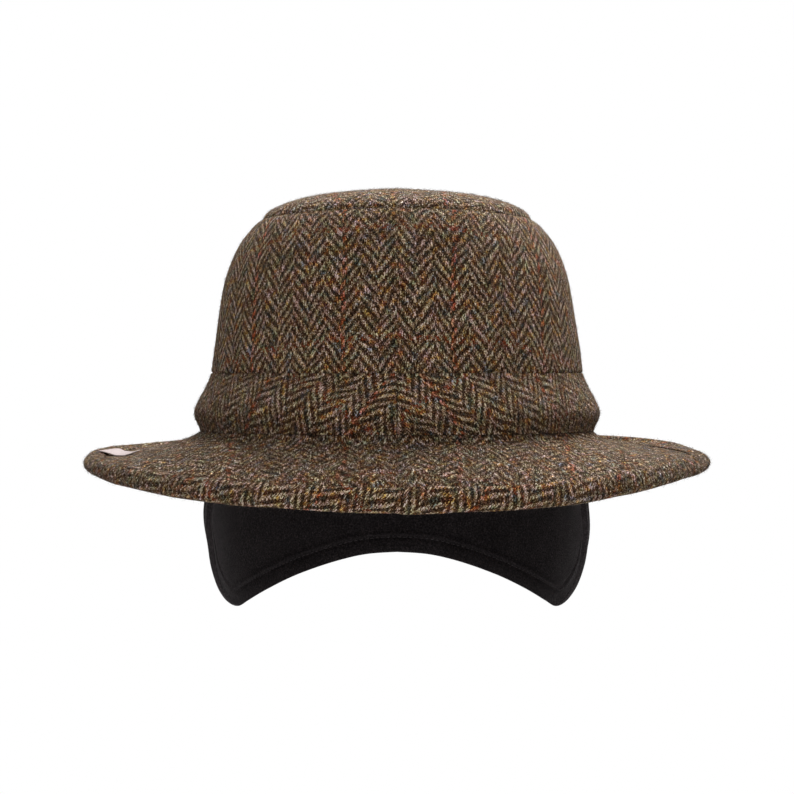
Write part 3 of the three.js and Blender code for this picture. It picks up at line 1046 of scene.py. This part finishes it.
def makeBinding():
    joint = binding["joint"]
    loops = []
    for angle, section in zip(turns(brim["around"]), brimTop):
        direction = np.array([math.sin(angle), -math.cos(angle), 0.0])
        flat = np.stack([(section - section[0]) @ direction, section[:, 2]], 1)
        length = lengthAlong(flat)
        covered = np.linspace(length[-1] - binding["width"], length[-1], binding["rows"])
        upper = atLengths(flat, length, covered)
        degrees = math.degrees(angle)
        pastStart = np.clip((degrees - joint["from"]) / joint["ramp"], 0, 1)
        beforeEnd = np.clip((joint["to"] - degrees) / joint["ramp"], 0, 1)
        thick = binding["cloth"] + joint["extra"] * (pastStart * beforeEnd)
        outer = bindingFace(upper, binding["clear"] + thick)
        inner = bindingFace(upper, binding["clear"])
        # a soft pad between the fold and the sewn edge
        swell = np.sin(math.pi * np.linspace(0, 1, len(outer))) ** binding["puffRound"]
        along = lengthAlong(outer)
        pressed = 1 - np.clip(np.minimum(along, along[-1] - along) / binding["pressWidth"], 0, 1)
        offset = binding["puff"] * swell - binding["press"] * pressed
        outer = (outer - offset[:, None] * outward(outer))[::-1]
        loop = wallLoop(outer, inner[::-1], binding["rim"])
        base = np.array([section[0, 0], section[0, 1], 0.0])
        loops.append(base + np.outer(loop[:, 0], direction) + np.outer(loop[:, 1], [0, 0, 1]))
    grid = np.stack(loops)
    # cut on the bias: one length round the fold for all rows
    arc = ringLength(grid)[:, len(outer) // 2, None]
    up = loopLength(outer, binding["rim"], lengthAlong(outer)[-1] / 2)
    cloth = np.stack([(arc - up) / math.sqrt(2) + binding["shift"], (arc + up) / math.sqrt(2)], -1)
    return wallPiece("brim_edge_binding", grid, cloth, "edgeTweed", len(outer), binding["rim"])


edgeBinding = makeBinding()
dress(edgeBinding, "tweed_bias", "brim_binding")
print("binding made:", len(edgeBinding.data.polygons), "faces")


# Ear flap


flap = {
    "cloth": 2.4,
    "top": 12.0,  # sewn in this far above the brim seam
    "columns": 320,
    "rows": 90,
    "crowding": 1.4,  # rows lie closer together near the free edge
    "rim": 6,
    "hem": 6.0,  # width of the sewn edge
    "hemRoll": 0.3,
    "groove": {"depth": 0.3, "width": 0.7},
    "ridge": {"from": 1.7, "height": 0.5, "width": 1.0},  # the fleece swells just past the hem seam
    "pile": {"height": 0.3, "over": 3.0},  # and stands higher from there on
    "uneven": 0.6,
    "seed": 31,
    "unevenFrom": -5.0,  # it hangs freely from this height down
    "unevenOver": 30.0,
    "stitch": {"pitch": 2.6, "length": 1.9, "thick": 0.36},
    # height, and how far the face lies inside the head's half-width
    "hang": [(-82, 8.2), (-68, 4.1), (-55, 1.7), (-40, 0.6), (-20, 1.3), (-2.5, 2.35), (12, 2.35)],
    # degrees from the front, and height of the free edge
    "edge": [
        (66, -2.0), (73, -21.0), (81, -44.0), (90, -61.0), (100, -73.0), (108.5, -78.4), (117.5, -77.0),
        (131, -72.5), (145, -66.9), (160, -61.5), (170, -58.8), (180, -57.9),
    ],
}
flapRadius = headHalfWidth + ovalExtra / 2  # of the flap laid flat


def splineThrough(points, steps):
    # even-tension curve through points, ends included
    points = np.array(points, float)
    padded = np.concatenate([points[:1], points, points[-1:]])
    places = np.linspace(0, len(points) - 1, steps)
    at = np.minimum(places.astype(int), len(points) - 2)
    t = (places - at)[:, None]
    a, b, c, d = (padded[at + k] for k in range(4))
    bend = (c - a) * t + (2 * a - 5 * b + 4 * c - d) * t**2 + (3 * b - a - 3 * c + d) * t**3
    return b + bend / 2


def hill(place, middle, width):
    return np.exp(-(((place - middle) / width) ** 2))


def makeFlap():
    half = splineThrough(flap["edge"], flap["columns"] // 2)
    mirrored = half[:-1][::-1] * np.array([-1, 1]) + np.array([360, 0])
    low = np.concatenate([half, mirrored])
    angle = np.radians(low[:, 0])
    share = np.linspace(0, 1, flap["rows"]) ** flap["crowding"]
    z = low[:, 1:] + (flap["top"] - low[:, 1:]) * share
    halfWidth = headHalfWidth - through(flap["hang"], z)
    # distance of every point from the free edge, on the flap laid flat
    arc = np.broadcast_to(angle[:, None] * flapRadius, z.shape)
    edgeLine = np.stack([angle * flapRadius, low[:, 1]], 1)
    places = np.stack([arc, z], -1)
    distance = np.full(z.shape, np.inf)
    for start, end in zip(edgeLine[:-1], edgeLine[1:]):
        span = end - start
        t = np.clip(((places - start) @ span) / (span @ span), 0, 1)
        distance = np.minimum(distance, np.linalg.norm(places - start - t[..., None] * span, axis=-1))
    hem, groove, ridge, pile = flap["hem"], flap["groove"], flap["ridge"], flap["pile"]
    inHem = np.clip(distance / hem, 0, 1)
    raised = flap["hemRoll"] * 4 * inHem * (1 - inHem)
    raised = raised - groove["depth"] * hill(distance, hem, groove["width"])
    raised = raised + pile["height"] * (1 - np.exp(-np.clip(distance - hem, 0, None) / pile["over"]))
    raised = raised + ridge["height"] * hill(distance, hem + ridge["from"], ridge["width"])
    hanging = np.clip((flap["unevenFrom"] - z) / flap["unevenOver"], 0, 1)
    sway = waviness(angle[:, None], z, flap["uneven"], flap["seed"]) * hanging
    outerFace = onOval(angle[:, None], halfWidth + sway + raised, z)
    innerFace = onOval(angle[:, None], halfWidth + sway - flap["cloth"] - raised, z)
    grid = np.stack([wallLoop(outer, inner, flap["rim"]) for outer, inner in zip(outerFace, innerFace)])
    topRim, footRim = (np.repeat(z[:, k, None], flap["rim"], 1) for k in (-1, 0))
    up = np.concatenate([z, topRim, z[:, ::-1], footRim], 1)
    cloth = np.stack([np.broadcast_to(arc[:, :1], up.shape), up], -1)
    piece = wallPiece("flap_fleece", grid, cloth, "fleece", flap["rows"], flap["rim"], ring=False)
    return piece, low, angle, distance, outerFace, innerFace


flapPiece, flapLow, flapAngle, flapDistance, flapOuter, flapInner = makeFlap()
dress(flapPiece, "fleece", "ear_flap")
print("flap made:", len(flapPiece.data.polygons), "faces")


def makeHemStitches():
    # a row of thread along the groove of the hem, on both faces
    hem, thread = flap["hem"], flap["stitch"]
    points, edges = [], []
    for face in (flapOuter, flapInner):
        line = []
        for column, distance in zip(face, flapDistance):
            inside = np.argmax(distance > hem)
            if distance.max() > hem:
                share = (hem - distance[inside - 1]) / (distance[inside] - distance[inside - 1])
                line.append(column[inside - 1] + (column[inside] - column[inside - 1]) * share)
        edges += [(len(points) + k, len(points) + k + 1) for k in range(len(line) - 1)]
        points += line
    mesh = bpy.data.meshes.new("flap_hem_stitches")
    mesh.from_pydata((np.array(points) * mm).tolist(), edges, [])
    piece = newObject("flap_hem_stitches", mesh)
    sizes = {name.capitalize(): thread[name] * mm for name in ("pitch", "length", "thick")}
    sizes["Thread"] = finishes["blackThread"]
    tree, given, output = nodeModifier(piece, "hemStitches", sizes)
    path = result(tree, "GeometryNodeMeshToCurve", {"Mesh": given["Geometry"]})
    wanted = {"Curve": path, "Length": given["Pitch"]}
    spaced = result(tree, "GeometryNodeResampleCurve", wanted, mode="LENGTH")
    along = result(tree, "GeometryNodeInputTangent")
    wanted = {
        "Points": spaced,
        "Instance": result(tree, "GeometryNodeMeshUVSphere", {"Segments": 8, "Rings": 5, "Radius": 0.5}),
        "Rotation": result(tree, "FunctionNodeAlignRotationToVector", {"Vector": along}, axis="X"),
        "Scale": vector(given["Length"], given["Thick"], given["Thick"]),
    }
    finishTree(output, result(tree, "GeometryNodeInstanceOnPoints", wanted), given["Thread"])
    return settle(piece)


hemStitches = makeHemStitches()
dress(hemStitches, "fleece")
# cut flat from one piece of fleece, sewn to the crown along its upper edge
flapArc = flapAngle * flapRadius
flapHeight = flap["top"] - flapLow[:, 1]
flapFlat = ((flapArc[-1] - flapArc[0]) * mm, flapHeight.max() * mm)
flapArea = float(np.sum((flapHeight[1:] + flapHeight[:-1]) / 2 * np.diff(flapArc))) * mm * mm
print("flap cut flat:", [round(side, 4) for side in flapFlat], "area", round(flapArea, 5))
print("hem stitches made:", len(hemStitches.data.polygons), "faces")


# Label


label = {
    "cloth": 0.4,
    "columns": 40,
    "rows": 10,
    "rim": 2,
    "angle": -95.0,  # degrees from the front, where it is sewn to the binding
    "start": 44.5,  # distance out from the crown
    "heading": 40.0,  # degrees it turns from straight inwards to the front
    "width": 9.5,
    "length": 18.0,
    "lift": 0.45,  # clear of the cloth under it, all along
    # share of its length from the sewn end, height over the brim at the near and at the far edge
    "wave": [
        (0.0, 1.2, 1.4), (0.12, 1.6, 2.4), (0.25, 1.5, 2.3),
        (0.45, 1.0, 1.3), (0.75, 0.1, 0.7), (1.0, 0.0, 1.1),
    ],
}


def brimHeight(surface, x, y):
    wellAbove = 100
    hit = surface.ray_cast(Vector((x, y, wellAbove)) * mm, Vector((0, 0, -1)))
    return hit[0].z / mm


def makeLabel():
    corners = [vertex.co for vertex in brimCloth.data.vertices]
    surface = BVHTree.FromPolygons(corners, [tuple(face.vertices) for face in brimCloth.data.polygons])
    heading = math.radians(label["heading"])
    slope = np.interp(label["angle"], brimAngles, brimColumn("Slope"))
    along = np.linspace(0, 1, label["columns"])
    near = through(label["wave"], along, 1)
    far = through(label["wave"], along, 2)
    top = np.zeros((label["columns"], label["rows"], 3))
    for i, length in enumerate(label["length"] * along):
        for k, side in enumerate(np.linspace(1, -1, label["rows"])):
            aside = label["width"] / 2 * side
            out = label["start"] - length * math.cos(heading) + aside * math.sin(heading)
            forward = length * math.sin(heading) + aside * math.cos(heading)
            angle = math.radians(label["angle"]) + forward / (brim["seat"] + slope)
            x, y, _ = onOval(angle, brim["seat"] + out, 0.0)
            lift = far[i] + (near[i] - far[i]) * (side + 1) / 2
            top[i, k] = x, y, brimHeight(surface, x, y) + lift + label["lift"]
    under = top - np.array([0, 0, label["cloth"]])
    grid = np.stack([wallLoop(upper, lower, label["rim"]) for upper, lower in zip(top, under)])
    lengthwise = lengthAlong(top[:, 0])
    across = loopLength(top[0], label["rim"], 0.0)
    cloth = np.stack(np.broadcast_arrays(lengthwise[:, None], across[None]), -1)
    return wallPiece("label_ribbon", grid, cloth, "ribbon", label["rows"], label["rim"], ring=False)


labelRibbon = makeLabel()
dress(labelRibbon, "ribbon", "side_label")
print("label made")


# Wool fuzz


fuzz = {
    "length": 1.7,
    "thick": 0.08,
    "bend": 0.5,
    "taper": 0.8,
    "points": 3,  # along a strand, and round it
    "sizes": (0.5, 1.4),
    "tilts": (62.0, 86.0),  # degrees from standing straight up
    "seeds": {"place": 5, "tilt": 11, "spin": 12, "size": 13},
    # strands for each square millimetre of the outer faces
    "fields": [
        ("crown_fuzz", 0.17, [crownSide]),
        ("top_fuzz", 0.3, [crownTop]),
        ("band_fuzz", 0.3, [bandLeft, bandRight]),
        ("brim_fuzz", 0.2, [brimCloth]),
        ("binding_fuzz", 0.3, [edgeBinding]),
    ],
}


def randomValue(tree, least, most, seed):
    wanted = {2: least, 3: most, "Seed": seed}
    return result(tree, "FunctionNodeRandomValue", wanted, 1, data_type="FLOAT")


def makeFuzz(name, density, pieces):
    ground = bmesh.new()
    for grower in pieces:
        ground.from_mesh(grower.data)
    mesh = bpy.data.meshes.new(name)
    ground.to_mesh(mesh)
    ground.free()
    piece = newObject(name, mesh)
    seeds = fuzz["seeds"]
    sizes = {
        "Density": density / mm**2,
        "Length": fuzz["length"] * mm,
        "Thick": fuzz["thick"] * mm,
        "Bend": fuzz["bend"] * mm,
        "Least Tilt": math.radians(fuzz["tilts"][0]),
        "Most Tilt": math.radians(fuzz["tilts"][1]),
        "Seed": seeds["place"],
        "Wool": finishes["tweedFibre"],
    }
    tree, given, output = nodeModifier(piece, name, sizes)
    wanted = {"Name": outsideFaces}
    grown = result(tree, "GeometryNodeInputNamedAttribute", wanted, "Attribute", data_type="BOOLEAN")
    wanted = {"Mesh": given["Geometry"], "Selection": grown}
    for title in ("Density", "Seed"):
        wanted[title] = given[title]
    spread = addNode(tree, "GeometryNodeDistributePointsOnFaces", wanted, distribute_method="RANDOM")
    wanted = {
        "Resolution": fuzz["points"],
        "Start": (0, 0, 0),
        "Middle": vector(0.0, 0.0, given["Length"] * 0.5),
        "End": vector(given["Bend"], 0.0, given["Length"]),
    }
    strand = result(tree, "GeometryNodeCurveQuadraticBezier", wanted)
    taper = result(tree, "GeometryNodeSplineParameter", key="Factor") * -fuzz["taper"] + 1.0
    wanted = {
        "Curve": strand,
        "Profile Curve": result(tree, "GeometryNodeCurvePrimitiveCircle", {"Resolution": fuzz["points"]}),
        "Scale": given["Thick"] * 0.5 * taper,
        "Fill Caps": True,
    }
    fibre = result(tree, "GeometryNodeCurveToMesh", wanted)
    tilt = randomValue(tree, given["Least Tilt"], given["Most Tilt"], seeds["tilt"])
    spin = randomValue(tree, 0.0, fullTurn, seeds["spin"])
    leaning = result(tree, "FunctionNodeEulerToRotation", {0: vector(tilt, 0.0, spin)})
    wanted = {0: Output(tree, spread.outputs["Rotation"]), 1: leaning}
    wanted = {
        "Points": Output(tree, spread.outputs["Points"]),
        "Instance": fibre,
        "Rotation": result(tree, "FunctionNodeRotateRotation", wanted, rotation_space="LOCAL"),
        "Scale": randomValue(tree, *fuzz["sizes"], seeds["size"]),
    }
    finishTree(output, result(tree, "GeometryNodeInstanceOnPoints", wanted), given["Wool"])
    return settle(piece)


for name, density, pieces in fuzz["fields"]:
    strands = makeFuzz(name, density, pieces)
    dress(strands, "tweed")
    print(name, "made:", len(strands.data.polygons), "faces")


# Camera, floor and light


view = {
    "distance": 1500.0,
    "lookHeight": 14.5,
    "tilt": 0.5,  # degrees above level
    "imageSide": 794,  # pixels
    "pixelsPerMm": 2.276,
}


def makeCamera():
    data = bpy.data.cameras.new("camera")
    data.sensor_width = 36
    data.lens = view["pixelsPerMm"] * view["distance"] * data.sensor_width / view["imageSide"]
    data.clip_start, data.clip_end = 0.05, 60
    camera = newObject("camera", data)
    tilt = math.radians(view["tilt"])
    height = view["lookHeight"] + view["distance"] * math.sin(tilt)
    camera.location = (0, -view["distance"] * math.cos(tilt) * mm, height * mm)
    camera.rotation_euler = (math.pi / 2 - tilt, 0, 0)
    scene.camera = camera


studio = {
    "white": (1, 1, 1, 1),
    "floorColour": (0.9, 0.9, 0.9, 1),
    "floorDepth": 900.0,
    "floorRadius": 4000.0,
    "floorCorners": 64,
    "floorGlow": 0.35,
    "ambient": 0.42,
    "lamps": [
        {"name": "topLight", "place": (220, 620, 1120), "size": 1000, "power": 38.5},
        {"name": "frontLight", "place": (0, -1600, 450), "size": 900, "power": 7.0},
    ],
}


def seenDirectly(tree):
    return result(tree, "ShaderNodeLightPath", key="Is Camera Ray")


def makeStage():
    material, tree, shader = newMaterial("floor")
    coat(shader, {
        "Base Color": studio["floorColour"],
        "Roughness": 0.9,
        "Emission Color": studio["white"],
        # pale to the eye, without more light from below
        "Emission Strength": seenDirectly(tree) * studio["floorGlow"],
    })
    corners = studio["floorCorners"]
    angle = np.linspace(0, fullTurn, corners, endpoint=False)
    ring = np.stack([np.cos(angle), np.sin(angle), 0 * angle], 1) * studio["floorRadius"] * mm
    ring[:, 2] = -studio["floorDepth"] * mm
    mesh = bpy.data.meshes.new("floor")
    mesh.from_pydata(ring.tolist(), [], [list(range(corners))])
    mesh.materials.append(material)
    newObject("floor", mesh)


def makeLight():
    world = bpy.data.worlds.new("studio")
    world.use_nodes = True
    tree = world.node_tree
    tree.nodes.clear()
    wanted = {0: seenDirectly(tree)}
    for k, strength in ((1, studio["ambient"]), (2, 1.0)):
        glow = {"Color": studio["white"], "Strength": strength}
        wanted[k] = result(tree, "ShaderNodeBackground", glow)
    both = result(tree, "ShaderNodeMixShader", wanted)
    addNode(tree, "ShaderNodeOutputWorld", {"Surface": both})
    scene.world = world
    for lamp in studio["lamps"]:
        data = bpy.data.lights.new(lamp["name"], "AREA")
        data.size = lamp["size"] * mm
        data.energy = lamp["power"]
        light = newObject(lamp["name"], data)
        light.location = Vector(lamp["place"]) * mm
        light.rotation_euler = (-light.location).to_track_quat("-Z", "Y").to_euler()
    scene.view_settings.view_transform = "Standard"


makeCamera()
makeStage()
makeLight()
print("stage made")
